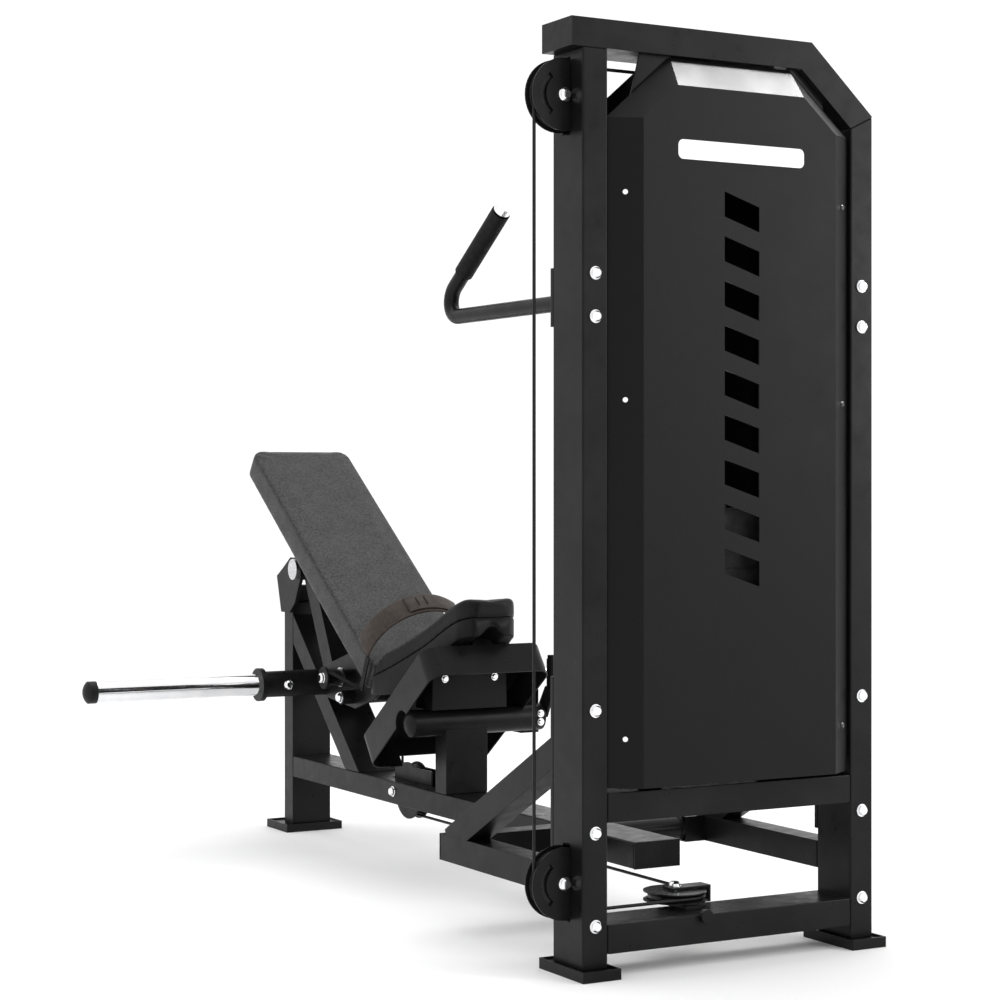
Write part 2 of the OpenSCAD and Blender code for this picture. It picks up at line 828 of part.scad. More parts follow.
module release_lever() {
    color("#0d0d0d") from_front() {
        difference() {
            side_plate(lever_x, lever_x + 6, [
                [lever_pivot_y - 14, 334], [lever_pivot_y + 14, 334], [lever_pivot_y + 14, 364],
                [lever_y + 11, 402], [lever_y - 11, 402], [lever_y - 11, 372]
            ]);
            rod_along_x(lever_x - 1, lever_x + 7, lever_pivot_y, lever_pivot_z, lever_pivot_r + running);
        }
        rod_along_z(402, 462, lever_x + 9, lever_y, 10);
        rod_along_z(462, 470, lever_x + 9, lever_y, 8);
    }
}

module arm_tube() {
    color("#1c1c1e") from_front() difference() {
        union() {
            sloped_tube([crossbar_y, crossbar_z], arm_slope, arm_len, tube_d, tube_w);
            rod_along_x(1 - beam_x, beam_x - 1, axle_y, axle_z, housing_r);
        }
        on_pad(0, -rail_h) translate([-tube_d, 0, 0]) cube([2 * tube_d, pad_len, tube_d]);
        rod_along_x(-tube_d, tube_d, crossbar_y, crossbar_z, crossbar_r);
        rod_along_x(-tube_d, tube_d, axle_y, axle_z, axle_r + running);
    }
}

module horn_crossbar() {
    color("#161617") from_front() difference() {
        union() {
            rod_along_x(-crossbar_x, crossbar_x, crossbar_y, crossbar_z, crossbar_r);
            both_sides() rod_along_x(crossbar_x, crossbar_x + flange_t, crossbar_y, crossbar_z, flange_r);
        }
        both_sides() rod_along_x(horn_root_x, tower_w, crossbar_y, crossbar_z, spigot_r);
    }
}

module plate_horns() {
    color("#e2e3e6") from_front() both_sides() {
        rod_along_x(horn_root_x, crossbar_x + flange_t, crossbar_y, crossbar_z, spigot_r);
        rod_along_x(
            crossbar_x + flange_t, horn_tip_x - horn_cap_len, crossbar_y, crossbar_z, horn_r
        );
    }
}

module horn_caps() {
    dome_r = horn_cap_len + 6;
    color("#0e0e0f") from_front() both_sides() intersection() {
        rod_along_x(horn_tip_x - horn_cap_len, horn_tip_x, crossbar_y, crossbar_z, horn_r - 0.2);
        translate([horn_tip_x - dome_r, crossbar_y, crossbar_z]) sphere(r = dome_r, $fn = round_fn);
    }
}

// The gussets, the shaft between them and the two rails they carry under the pad
module arm_gussets() {
    top = pad_at(155, -joint);
    low = pad_at(28, -joint);
    color("#1c1c1e") from_front() {
        both_sides() difference() {
            side_plate(gusset_x, gusset_x + gusset_t, [
                [crossbar_y + 6, crossbar_z - 32], [crossbar_y + 30, crossbar_z],
                [crossbar_y - 4, crossbar_z + 38], top, low, [1290, 362], [post_y - 10, shaft_z - 26]
            ]);
            rod_along_x(0, tower_w, crossbar_y, crossbar_z, crossbar_r);
            rod_along_x(0, tower_w, post_y, shaft_z, shaft_r);
        }
        rod_along_x(-shaft_x, shaft_x, post_y, shaft_z, shaft_r);
        both_sides() on_pad(30, -rail_h) translate([gusset_x - 24, 0, 0]) cube([24, 560, rail_h - joint]);
    }
}

module arm_bolts() {
    color("#d9dade") from_front() both_sides() {
        translate([173, crossbar_y - crossbar_r, crossbar_z]) bolt_head();
        translate([shaft_x, post_y, shaft_z]) rotate([0, 0, 90]) bolt_head(11);
        translate([strap_post_x, post_y, post_z]) rotate([0, 0, 90]) bolt_head(11);
        difference() {
            rod_along_x(gusset_x + gusset_t + 30, gusset_x + gusset_t + 34, post_y, post_z, 22);
            rod_along_x(gusset_x + gusset_t + 29, gusset_x + gusset_t + 35, post_y, post_z, post_r);
        }
    }
}

module strap_posts() {
    color("#232325") from_front() both_sides() {
        rod_along_x(gusset_x + gusset_t, strap_post_x, post_y, post_z, post_r);
        rod_along_x(strap_post_x - 6, strap_post_x, post_y, post_z, 25);
    }
}

module saddle_carrier() {
    end_y = post_y - shaft_r + 2;
    color("#1c1c1e") from_front() difference() {
        union() {
            side_plate(-25, 25, [
                [end_y, shaft_z - 8], [1230, 358], [1127, 372], [1092, 388], [1092, 398.6],
                [1127, 384], [1222, 380], [end_y, shaft_z + 10]
            ]);
            translate([-12, arm_cable_y - 12, anchor_z]) cube([24, 24, 34]);
        }
        rod_along_x(-tube_d, tube_d, post_y, shaft_z, shaft_r);
    }
}

function raised(line, h) = [for (p = line) [p[0], p[1] + h]];

function reversed(line) = [for (i = [len(line) - 1:-1:0]) line[i]];

// The saddle seen from above: broad behind, round at the nose
module saddle_plan(inset) {
    hull() for (x = [-1, 1]) {
        translate([x * (84 - inset), 1180 - inset, 0]) cylinder(h = 900, r = 46, $fn = hull_fn);
        translate([x * (22 - inset / 2), 916 + inset, 0]) cylinder(h = 900, r = 44, $fn = hull_fn);
    }
}

// A layer of the saddle between two lines seen from the side
module saddle_layer(low, high, inset) {
    outline = concat(low, reversed(high));
    difference() {
        intersection() {
            side_plate(-pad_w / 2, pad_w / 2, outline);
            saddle_plan(inset);
        }
        on_pad(0, -tube_d) translate([-pad_w, 0, 0]) cube([2 * pad_w, pad_len, 3 * tube_d]);
    }
}

module saddle_shell() {
    color("#151516") difference() {
        from_front() saddle_layer(raised(saddle_line, shell_low), saddle_seam, 5);
        buffer_round(-2 * buffer_len, 3 * buffer_len, 1);
    }
}

module saddle_pad() {
    color("#333336") from_front() saddle_layer(saddle_seam, saddle_top, 0);
}

module on_pad(along, out) {
    p = pad_at(along, out);
    translate([0, p[0], p[1]]) rotate([pad_slope, 0, 0]) children();
}

module pad_board() {
    color("#151516") from_front() on_pad(4, 0)
        translate([4 - pad_w / 2, 0, 0]) cube([pad_w - 8, pad_len - 8, board_t]);
}

module back_pad() {
    color("#333336") from_front() on_pad(0, board_t) translate([-pad_w / 2, 0, 0])
        cube([pad_w, pad_len, foam_t]);
}

module belt_leg() {
    difference() {
        side_plate(belt_x, belt_x + belt_t, [
            pad_at(belt_along, 0), pad_at(belt_along + belt_w, 0), [post_y + 20, post_z + 14],
            [post_y + 20, post_z - 16], [post_y - 10, post_z - 24]
        ]);
        rod_along_x(0, tower_w, post_y, post_z, post_r);
    }
}

module hip_belt() {
    outer = belt_x + belt_t;
    color("#3a332e") from_front() {
        both_sides() {
            belt_leg();
            on_pad(belt_along, 0) translate([belt_x, 0, 0]) cube([belt_t, belt_w, belt_centre]);
        }
        on_pad(belt_along, belt_centre) difference() {
            rotate([-90, 0, 0]) cylinder(h = belt_w, r = outer, $fn = 96);
            translate([0, -1, 0]) rotate([-90, 0, 0]) cylinder(h = belt_w + 2, r = belt_x, $fn = 96);
            translate([-outer - 1, -1, -outer - 1]) cube([2 * outer + 2, belt_w + 2, outer + 1]);
        }
    }
}

left_upright();
right_upright();
top_beam();
tube_caps();
middle_cross_beam();
lower_cross_beam();
feet();
front_shroud();
rear_shroud();
shroud_hangers();
guide_rods();
stack_buffers();
resting_plates();
lifted_plates();
selector_rod();
selector_pin();
frame_bolts();
handles();
handle_grips();
handle_caps();
tower_pulley_brackets();
flat_pulley_bracket();
beam_pulley_bracket();
pulley_bolts();
top_inner_pulley();
top_outer_pulley();
bottom_outer_pulley();
flat_pulley();
beam_pulley();
cable_run();
stack_cable();
arm_cable();
base_beam();
side_rails();
rear_cross_tubes();
tower_braces();
bench_upright();
long_brace();
axle_bracket();
axle();
rest_post();
rest_tube();
rest_tray();
tray_bracket();
rest_buffer();
lever_housing();
release_lever();
arm_tube();
horn_crossbar();
plate_horns();
horn_caps();
arm_gussets();
arm_bolts();
strap_posts();
saddle_carrier();
saddle_shell();
saddle_pad();
pad_board();
back_pad();
hip_belt();
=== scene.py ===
import bpy
import json
import math
from collections import Counter
from mathutils import Matrix, Vector


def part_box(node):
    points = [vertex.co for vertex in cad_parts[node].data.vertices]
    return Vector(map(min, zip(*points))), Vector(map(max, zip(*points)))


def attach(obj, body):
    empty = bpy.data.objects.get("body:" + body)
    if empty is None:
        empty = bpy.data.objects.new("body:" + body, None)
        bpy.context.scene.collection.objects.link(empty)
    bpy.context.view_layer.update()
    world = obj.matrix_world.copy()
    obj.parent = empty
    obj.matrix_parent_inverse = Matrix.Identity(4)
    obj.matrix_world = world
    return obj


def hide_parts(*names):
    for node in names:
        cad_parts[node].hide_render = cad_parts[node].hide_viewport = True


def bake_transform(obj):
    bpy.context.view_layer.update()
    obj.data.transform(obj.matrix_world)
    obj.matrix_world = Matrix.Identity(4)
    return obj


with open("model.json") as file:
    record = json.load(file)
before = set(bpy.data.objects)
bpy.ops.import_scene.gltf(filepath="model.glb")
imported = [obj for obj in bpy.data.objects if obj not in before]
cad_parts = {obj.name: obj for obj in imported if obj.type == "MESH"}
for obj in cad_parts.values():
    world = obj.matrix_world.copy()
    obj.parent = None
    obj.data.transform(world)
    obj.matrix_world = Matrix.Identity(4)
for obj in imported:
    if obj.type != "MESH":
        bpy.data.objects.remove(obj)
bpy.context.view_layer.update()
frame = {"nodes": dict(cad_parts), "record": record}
NODES = frame["nodes"]
SCENE = bpy.context.scene
MM = 0.001

# The frame's y is measured from the middle of the machine; the design's from the tower's front face.
FRONT_FACE_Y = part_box("left_upright")[0][1]
PAD_SLOPE = math.radians(35.5)
PAD_BOARD = 16 * MM
PAD_FOAM = 50 * MM
STRAP_POST = Vector((FRONT_FACE_Y + 1400 * MM, 404 * MM))
ROLLED_CORNER = 3 * MM
PLATE_CORNER = 1 * MM
SHORTEST_ROLLED = 15 * MM
WORLD_STRENGTH = 1.08


# ---------------------------------------------------------------- camera, light and floor

def make_camera():
    """The photograph's viewpoint: level, to the left of the tower's front, with a vertical shift."""
    camera = bpy.data.cameras.new("camera")
    camera.sensor_width = 36
    camera.lens = 83.44
    camera.shift_y = -0.0205
    camera.clip_end = 60
    obj = bpy.data.objects.new("camera", camera)
    obj.location = (-2.358, FRONT_FACE_Y - 3.369, 0.8526)
    obj.rotation_euler = (math.radians(90), 0, math.radians(-29.25))
    SCENE.collection.objects.link(obj)
    SCENE.camera = obj


def area_light(name, place, target, size, power):
    light = bpy.data.lights.new(name, "AREA")
    light.shape = "RECTANGLE"
    light.size, light.size_y = size
    light.energy = power
    obj = bpy.data.objects.new(name, light)
    obj.location = place
    obj.rotation_euler = (Vector(target) - Vector(place)).to_track_quat("-Z", "Y").to_euler()
    SCENE.collection.objects.link(obj)
    return obj


def make_studio():
    """Soft light from all round, and a glint on the shroud's top bevel that reaches nothing else."""
    middle = (0, 0, 0.8)
    bevel = (0, FRONT_FACE_Y, 1.5)
    area_light("overhead", (0.2, 0.6, 4.6), middle, (4.0, 3.0), 55)
    glint = area_light("bevel_glint", (2.0, FRONT_FACE_Y + 0.5, 4.4), bevel, (2.8, 2.0), 1050)
    lit = bpy.data.collections.new("lit_by_glint")
    lit.objects.link(NODES["front_shroud"])
    glint.light_linking.receiver_collection = lit
    area_light("front_right", (3.6, -4.2, 2.2), middle, (0.9, 3.0), 80)
    area_light("left_strip", (-4.6, 0.8, 1.7), middle, (1.2, 3.2), 8)
    world = bpy.data.worlds.new("studio")
    world.use_nodes = True
    background = world.node_tree.nodes["Background"]
    background.inputs["Color"].default_value = (1.0, 1.0, 1.0, 1.0)
    background.inputs["Strength"].default_value = WORLD_STRENGTH
    SCENE.world = world
    SCENE.view_settings.view_transform = "Standard"


def make_floor():
    mesh = bpy.data.meshes.new("floor")
    half = 30.0
    corners = [(-half, -half, 0), (half, -half, 0), (half, half, 0), (-half, half, 0)]
    mesh.from_pydata(corners, [], [(0, 1, 2, 3)])
    floor = bpy.data.objects.new("floor", mesh)
    SCENE.collection.objects.link(floor)
    material = bpy.data.materials.new("floor")
    material.use_nodes = True
    shader = material.node_tree.nodes["Principled BSDF"]
    shader.inputs["Base Color"].default_value = (0.97, 0.97, 0.97, 1)
    shader.inputs["Roughness"].default_value = 0.85
    shader.inputs["Specular IOR Level"].default_value = 0.1
    mesh.materials.append(material)


# ---------------------------------------------------------------- materials

class Surface:
    """A procedural material: a Principled shader with layers added by the methods below."""

    def __init__(self, name, roughness, metallic=0.0, coat=0.0, specular=0.5):
        self.material = bpy.data.materials.new(name)
        self.material.use_nodes = True
        self.tree = self.material.node_tree
        self.shader = self.tree.nodes["Principled BSDF"]
        self.shader.inputs["Roughness"].default_value = roughness
        self.shader.inputs["Metallic"].default_value = metallic
        self.shader.inputs["Coat Weight"].default_value = coat
        self.shader.inputs["Coat Roughness"].default_value = 0.2
        self.shader.inputs["Specular IOR Level"].default_value = specular
        self.place = self.tree.nodes.new("ShaderNodeTexCoord").outputs["Object"]
        self.bump = None

    def link(self, a, b):
        self.tree.links.new(a, b)

    def noise(self, scale, detail=4.0):
        node = self.tree.nodes.new("ShaderNodeTexNoise")
        node.inputs["Scale"].default_value = scale
        node.inputs["Detail"].default_value = detail
        self.link(self.place, node.inputs["Vector"])
        return node.outputs["Fac"]

    def cells(self, scale, feature="F1"):
        node = self.tree.nodes.new("ShaderNodeTexVoronoi")
        node.feature = feature
        node.inputs["Scale"].default_value = scale
        self.link(self.place, node.inputs["Vector"])
        return node.outputs["Distance"]

    def ramp(self, source, stops):
        node = self.tree.nodes.new("ShaderNodeValToRGB")
        self.link(source, node.inputs["Fac"])
        elements = node.color_ramp.elements
        for element, (position, colour) in zip(elements, stops):
            element.position = position
            element.color = (*colour, 1)
        for position, colour in stops[2:]:
            elements.new(position).color = (*colour, 1)
        return node.outputs["Color"]

    def colour(self, source, dark, light, low=0.35, high=0.65):
        self.link(self.ramp(source, [(low, dark), (high, light)]), self.shader.inputs["Base Color"])
        return self

    def roughness(self, source, low, high):
        node = self.tree.nodes.new("ShaderNodeMapRange")
        self.link(source, node.inputs["Value"])
        node.inputs["From Min"].default_value = 0.3
        node.inputs["From Max"].default_value = 0.7
        node.inputs["To Min"].default_value = low
        node.inputs["To Max"].default_value = high
        self.link(node.outputs["Result"], self.shader.inputs["Roughness"])
        return self

    def relief(self, source, strength, depth):
        """Adds one bump layer on top of the ones before."""
        node = self.tree.nodes.new("ShaderNodeBump")
        node.inputs["Strength"].default_value = strength
        node.inputs["Distance"].default_value = depth
        self.link(source, node.inputs["Height"])
        if self.bump:
            self.link(self.bump, node.inputs["Normal"])
        self.bump = node.outputs["Normal"]
        self.link(self.bump, self.shader.inputs["Normal"])
        return self

    def rolled_edges(self, radius):
        """Shades sharp corners as if they were rolled. It comes before any relief."""
        node = self.tree.nodes.new("ShaderNodeBevel")
        node.samples = 6
        node.inputs["Radius"].default_value = radius
        self.bump = node.outputs["Normal"]
        self.link(self.bump, self.shader.inputs["Normal"])
        return self

    def sheen(self, weight, roughness):
        self.shader.inputs["Sheen Weight"].default_value = weight
        self.shader.inputs["Sheen Roughness"].default_value = roughness
        return self


def grey(value, tint=0.0):
    return (value, value, value + tint)


def make_powder_coat():
    s = Surface("satin_powder_coat", 0.34, specular=0.13)
    s.rolled_edges(1.5 * MM)
    s.colour(s.noise(9), grey(0.005), grey(0.009, 0.0003))
    s.roughness(s.noise(38, 6), 0.26, 0.4)
    return s.relief(s.noise(1300, 2), 0.12, 0.0003).material


def make_shroud_paint():
    s = Surface("textured_shroud_paint", 0.4, specular=0.13)
    s.colour(s.noise(900, 2), grey(0.002), grey(0.006, 0.0003), 0.3, 0.72)
    s.roughness(s.noise(14, 5), 0.34, 0.44)
    return s.relief(s.noise(1100, 3), 0.3, 0.0004).material


def make_chrome():
    s = Surface("polished_chrome", 0.08, metallic=1.0)
    s.colour(s.noise(30), (0.86, 0.865, 0.88), (0.94, 0.94, 0.95))
    return s.roughness(s.noise(160, 5), 0.05, 0.16).material


def make_turned_steel():
    s = Surface("turned_steel", 0.3, metallic=1.0)
    s.colour(s.noise(120), (0.55, 0.55, 0.56), (0.72, 0.72, 0.73))
    s.roughness(s.noise(420, 6), 0.22, 0.4)
    return s.relief(s.noise(900, 2), 0.1, 0.0002).material


def make_rubber():
    s = Surface("black_rubber", 0.6, specular=0.16)
    s.colour(s.noise(60), grey(0.003), grey(0.007))
    s.roughness(s.noise(90, 5), 0.55, 0.72)
    return s.relief(s.cells(700), 0.25, 0.0004).material


def make_moulded_plastic():
    s = Surface("moulded_black_plastic", 0.4, specular=0.18)
    s.colour(s.noise(25), grey(0.004), grey(0.008))
    s.roughness(s.noise(60, 5), 0.36, 0.5)
    return s.relief(s.noise(800, 3), 0.18, 0.0003).material


def make_pulley_plastic():
    s = Surface("pulley_nylon", 0.28, specular=0.22)
    s.colour(s.noise(40), grey(0.005), grey(0.011))
    s.roughness(s.noise(120, 4), 0.24, 0.36)
    return s.relief(s.noise(500, 2), 0.08, 0.0003).material


def make_cable_jacket():
    s = Surface("cable_jacket", 0.36, specular=0.2)
    s.colour(s.noise(80), grey(0.005), grey(0.009))
    s.roughness(s.noise(200, 3), 0.32, 0.44)
    return s.relief(s.noise(420, 1), 0.1, 0.0003).material


def make_stack_paint():
    s = Surface("painted_cast_iron", 0.48, specular=0.25)
    s.colour(s.noise(45, 6), grey(0.016), grey(0.034, 0.002))
    s.roughness(s.noise(70, 6), 0.42, 0.62)
    return s.relief(s.noise(240, 6), 0.35, 0.0006).material


def make_red_knob():
    s = Surface("red_knob", 0.25, coat=0.4)
    s.colour(s.noise(40), (0.42, 0.016, 0.012), (0.52, 0.026, 0.018))
    return s.roughness(s.noise(100, 3), 0.2, 0.3).material


def make_upholstery():
    """Grained vinyl: small cells for the grain, with a slow change of tone over the cushion."""
    s = Surface("grained_vinyl", 0.5, specular=0.3)
    s.colour(s.noise(210, 3), grey(0.004), grey(0.03, 0.001), 0.4, 0.6)
    s.roughness(s.noise(25, 6), 0.4, 0.54)
    s.relief(s.cells(520), 0.5, 0.0006)
    s.relief(s.noise(1200, 3), 0.3, 0.0003)
    return s.sheen(0.04, 0.5).material


def make_saddle_vinyl_with_painted_shade():
    # Darker than the back pad's vinyl: partly a smoother, darker vinyl, partly painted shade for the belt's
    # shadow over the saddle's dish.
    s = Surface("smooth_dark_vinyl_with_painted_shade", 0.46, specular=0.17)
    s.colour(s.noise(300, 4), grey(0.0025), grey(0.008, 0.0003), 0.32, 0.68)
    s.roughness(s.noise(25, 6), 0.38, 0.5)
    s.relief(s.cells(520), 0.3, 0.0004)
    return s.material


def make_belt_leather():
    s = Surface("waxed_leather", 0.5, specular=0.25)
    s.colour(s.noise(120, 7), (0.019, 0.0125, 0.009), (0.042, 0.03, 0.023), 0.3, 0.7)
    s.roughness(s.noise(60, 6), 0.42, 0.62)
    s.relief(s.cells(480), 0.4, 0.0005)
    return s.relief(s.noise(60, 6), 0.25, 0.0008).material


def make_white_print():
    s = Surface("white_print", 0.5, specular=0.3)
    s.colour(s.noise(60), (0.86, 0.86, 0.86), (0.93, 0.93, 0.93))
    return s.relief(s.noise(900, 2), 0.1, 0.0002).material


MATERIALS = {
    "frame_paint": make_powder_coat(),
    "shroud_paint": make_shroud_paint(),
    "chrome": make_chrome(),
    "axle_steel": make_turned_steel(),
    "black_rubber": make_rubber(),
    "black_plastic": make_moulded_plastic(),
    "pulley_plastic": make_pulley_plastic(),
    "cable_jacket": make_cable_jacket(),
    "stack_iron": make_stack_paint(),
    "pin_red": make_red_knob(),
    "upholstery": make_upholstery(),
    # The saddle's vinyl is darker than the back pad's: partly its own tone, partly painted shade.
    "saddle_vinyl": make_saddle_vinyl_with_painted_shade(),
    "belt_leather": make_belt_leather(),
}


def paint_frame():
    """Each CAD node takes the material of its slot in the record."""
    for part in frame["record"]["subparts"]:
        mesh = NODES[part["node"]].data
        mesh.materials.clear()
        mesh.materials.append(MATERIALS[part["material_slot"]])


def roll_corners(names, width):
    """Rolled corners along the long straight edges of square tube and plate, with every face flat."""
    for name in names:
        obj = NODES[name]
        mesh = obj.data
        uses = Counter(key for polygon in mesh.polygons for key in polygon.edge_keys)
        weights = mesh.attributes.new("bevel_weight_edge", "FLOAT", "EDGE")
        for edge in mesh.edges:
            start, end = (mesh.vertices[i].co for i in edge.vertices)
            if uses[edge.key] == 1 and (end - start).length > SHORTEST_ROLLED:
                weights.data[edge.index].value = 1.0
        imported = mesh.attributes.get("custom_normal")
        if imported:
            mesh.attributes.remove(imported)
        mesh.shade_flat()
        weld = obj.modifiers.new("weld", "WELD")
        weld.merge_threshold = 0.00002
        bevel = obj.modifiers.new("rolled_corner", "BEVEL")
        bevel.width = width
        bevel.segments = 3
        bevel.limit_method = "WEIGHT"


# ---------------------------------------------------------------- mesh helpers

def add_piece(name, vertices, faces, slot, body=None, smooth=True):
    mesh = bpy.data.meshes.new(name)
    mesh.from_pydata([tuple(v) for v in vertices], [], faces)
    mesh.update()
    mesh.materials.append(MATERIALS[slot])
    mesh.polygons.foreach_set("use_smooth", [smooth] * len(mesh.polygons))
    obj = bpy.data.objects.new(name, mesh)
    SCENE.collection.objects.link(obj)
    if body:
        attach(obj, body)
    return obj


def skin(rings, closed_ends=True):
    """Vertices and faces of a surface drawn through equal rings of points."""
    count = len(rings[0])
    vertices = [point for ring in rings for point in ring]
    faces = []
    for i in range(len(rings) - 1):
        for j in range(count):
            k = (j + 1) % count
            faces.append((i * count + j, i * count + k, (i + 1) * count + k, (i + 1) * count + j))
    if closed_ends:
        faces.append(tuple(reversed(range(count))))
        faces.append(tuple(range((len(rings) - 1) * count, len(rings) * count)))
    return vertices, faces


def bake_modifiers(obj):
    """Replaces the piece's mesh by what its modifiers show, and clears them."""
    shown = obj.evaluated_get(bpy.context.evaluated_depsgraph_get())
    mesh = bpy.data.meshes.new_from_object(shown)
    obj.modifiers.clear()
    obj.data = mesh


def inflate(obj, voxel, cap, held):
    """Fills a cushion by cloth simulation. held(point) is true where the cover is fixed to its board."""
    remesh = obj.modifiers.new("remesh", "REMESH")
    remesh.mode = "VOXEL"
    remesh.voxel_size = voxel
    smooth = obj.modifiers.new("smooth", "SMOOTH")
    smooth.iterations = 6
    bake_modifiers(obj)
    start = [v.co.copy() for v in obj.data.vertices]
    fixed = obj.vertex_groups.new(name="fixed")
    fixed.add([i for i, co in enumerate(start) if held(co)], 1.0, "REPLACE")
    cloth = obj.modifiers.new("cloth", "CLOTH")
    cloth.settings.quality = 4
    cloth.settings.use_pressure = True
    cloth.settings.uniform_pressure_force = 4.0
    cloth.settings.effector_weights.gravity = 0.0
    cloth.settings.vertex_group_mass = "fixed"
    cloth.point_cache.frame_start = 1
    cloth.point_cache.frame_end = 20
    for step in range(1, 21):
        SCENE.frame_set(step)
    bake_modifiers(obj)
    for vertex, origin in zip(obj.data.vertices, start):
        move = vertex.co - origin
        if move.length > cap:
            vertex.co = origin + move * (cap / move.length)
    SCENE.frame_set(1)


def finish_cushion(obj):
    obj.data.polygons.foreach_set("use_smooth", [True] * len(obj.data.polygons))
    subdivide = obj.modifiers.new("subdivide", "SUBSURF")
    subdivide.levels = 1
    subdivide.render_levels = 1


# ---------------------------------------------------------------- back pad

def pad_size():
    """Half the back pad's width, and its length."""
    low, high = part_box("back_pad")
    length = (high[2] - low[2] - PAD_FOAM * math.cos(PAD_SLOPE)) / math.sin(PAD_SLOPE)
    return (high[0] - low[0]) / 2, length


def pad_frame():
    """Turns (across, along, out of the board) into the row frame."""
    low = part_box("back_pad")[0]
    depth = PAD_BOARD + PAD_FOAM
    foot = Vector((0, low[1] + depth * math.sin(PAD_SLOPE), low[2] - PAD_BOARD * math.cos(PAD_SLOPE)))
    return Matrix.Translation(foot) @ Matrix.Rotation(PAD_SLOPE, 4, "X")


def round_rectangle(left, right, bottom, top, low_radius, high_radius, steps=8):
    """Points of a rectangle with two sizes of round corner, anticlockwise."""
    corners = [
        (right - low_radius, bottom + low_radius, low_radius, -90),
        (right - high_radius, top - high_radius, high_radius, 0),
        (left + high_radius, top - high_radius, high_radius, 90),
        (left + low_radius, bottom + low_radius, low_radius, 180),
    ]
    points = []
    for x, y, radius, start in corners:
        for i in range(steps + 1):
            turn = math.radians(start + 90 * i / steps)
            points.append((x + radius * math.cos(turn), y + radius * math.sin(turn)))
    return points


def make_back_pad():
    half, length = (size - 2 * MM for size in pad_size())
    to_row = pad_frame()
    # Each ring of the cushion: how far in from the outline, and how far out from the back of the board
    profile = [
        (3, 0.3), (0.5, 2), (0, 6), (0, 16), (0, 40), (0.2, 57),
        (1.5, 62), (5, 65), (9, 66), (40, 66.4), (90, 66.6)]
    rings = []
    for inset, height in profile:
        inset, height = inset * MM, height * MM
        outline = round_rectangle(
            -half + inset, half - inset, 2 * MM + inset, length - inset,
            max(10 * MM - inset, 1.5 * MM), max(30 * MM - inset, 2 * MM))
        rings.append([to_row @ Vector((x, y, height)) for x, y in outline])
    pad = add_piece("back_cushion", *skin(rings), "upholstery", "arm")
    to_pad = to_row.inverted()
    flat_side = 59 * MM
    inflate(pad, 5 * MM, 2.5 * MM, lambda co: (to_pad @ co).z < flat_side)
    finish_cushion(pad)
    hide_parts("back_pad", "pad_board")


def make_pad_backing():
    """The dust cover stapled over the back of the board, inside the vinyl's turned edge."""
    half, length = pad_size()
    to_row = pad_frame()
    rings = []
    for inset, height in [(22, 0.4), (22, -0.6), (24, -1.0)]:
        inset, height = inset * MM, height * MM
        outline = round_rectangle(-half + inset, half - inset, inset, length - inset, 6 * MM, 16 * MM)
        rings.append([to_row @ Vector((x, y, height)) for x, y in outline])
    add_piece("dust_cover", *skin(rings), "black_plastic", "arm", smooth=False)


# ---------------------------------------------------------------- saddle

# The saddle's underside from the back pad to the nose, as (y, z) in the design's millimetres
SADDLE_LINE = [(1222, 372), (1127, 376), (1012, 424), (930, 494), (872, 520)]
# Its upper rim in the same way
SADDLE_RIM = [(1222, 452), (1127, 490), (1012, 544), (930, 590), (872, 612)]
SHELL_FOOT = 8
FOAM_DEPTH = 46
REAR_CENTRE, REAR_RADIUS = (84, 1180), 46
NOSE_CENTRE, NOSE_RADIUS = (26, 918), 46


def along_line(line, y):
    """Height of a line at y, as a smooth curve near its named points."""
    def straight(at):
        for (y1, z1), (y0, z0) in zip(line, line[1:]):
            if y0 <= at <= y1:
                return z0 + (z1 - z0) * (at - y0) / (y1 - y0)
        return line[0][1] if at > line[0][0] else line[-1][1]
    spread = [straight(y + step) for step in (-18, -9, 0, 9, 18)]
    return sum(spread) / len(spread)


def saddle_half_width(y):
    """Half the saddle's width at y: round behind, round at the nose, and slightly waisted between."""
    if y < NOSE_CENTRE[1] - NOSE_RADIUS * 0.24:
        return NOSE_CENTRE[0] + math.sqrt(max(NOSE_RADIUS ** 2 - (NOSE_CENTRE[1] - y) ** 2, 0))
    if y > REAR_CENTRE[1]:
        return REAR_CENTRE[0] + math.sqrt(max(REAR_RADIUS ** 2 - (y - REAR_CENTRE[1]) ** 2, 0))
    nose = (NOSE_CENTRE[1] - NOSE_RADIUS * 0.24, NOSE_CENTRE[0] + NOSE_RADIUS * 0.97)
    rear = (REAR_CENTRE[1], REAR_CENTRE[0] + REAR_RADIUS)
    t = (y - nose[0]) / (rear[0] - nose[0])
    waist = 5 * math.sin(math.pi * t)
    return nose[1] + (rear[1] - nose[1]) * t - waist


def saddle_section(y, low, high, inset, dish, corner):
    """A closed ring across the saddle at y: flat below, round at its upper edges, and dished."""
    half = saddle_half_width(y) - inset
    steps = 14
    ring = []
    shoulder = min(corner, half * 0.8)
    across = half - shoulder
    for i in range(steps + 1):
        turn = math.pi / 2 * i / steps
        ring.append((across + shoulder * math.cos(turn), high - shoulder + shoulder * math.sin(turn)))
    for i in range(1, 10):
        ring.append((across * (1 - i / 5), high))
    ring += [(-x, z) for x, z in reversed(ring[:steps + 1])]
    ring += [(-half, low + 3), (-half + 3, low)]
    ring += [((half - 3) * (i / 8 - 1), low) for i in range(1, 16)]
    ring += [(half - 3, low), (half, low + 3)]
    middle = min(max((y - 950) / 120, 0), 1) * min(max((1230 - y) / 80, 0), 1)
    points = []
    for x, z in ring:
        hollow = dish * middle * max(0, 1 - (x / half) ** 2) if z > high - 6 else 0
        points.append(Vector((x * MM, FRONT_FACE_Y + y * MM, (z - hollow) * MM)))
    return points


def behind_pad(points, gap):
    """Keeps points in front of the plane of the back pad's lower end."""
    to_row = pad_frame()
    to_pad = to_row.inverted()
    for point in points:
        local = to_pad @ point
        if local.y > -gap:
            point.y -= (local.y + gap) / math.cos(PAD_SLOPE)
    return points


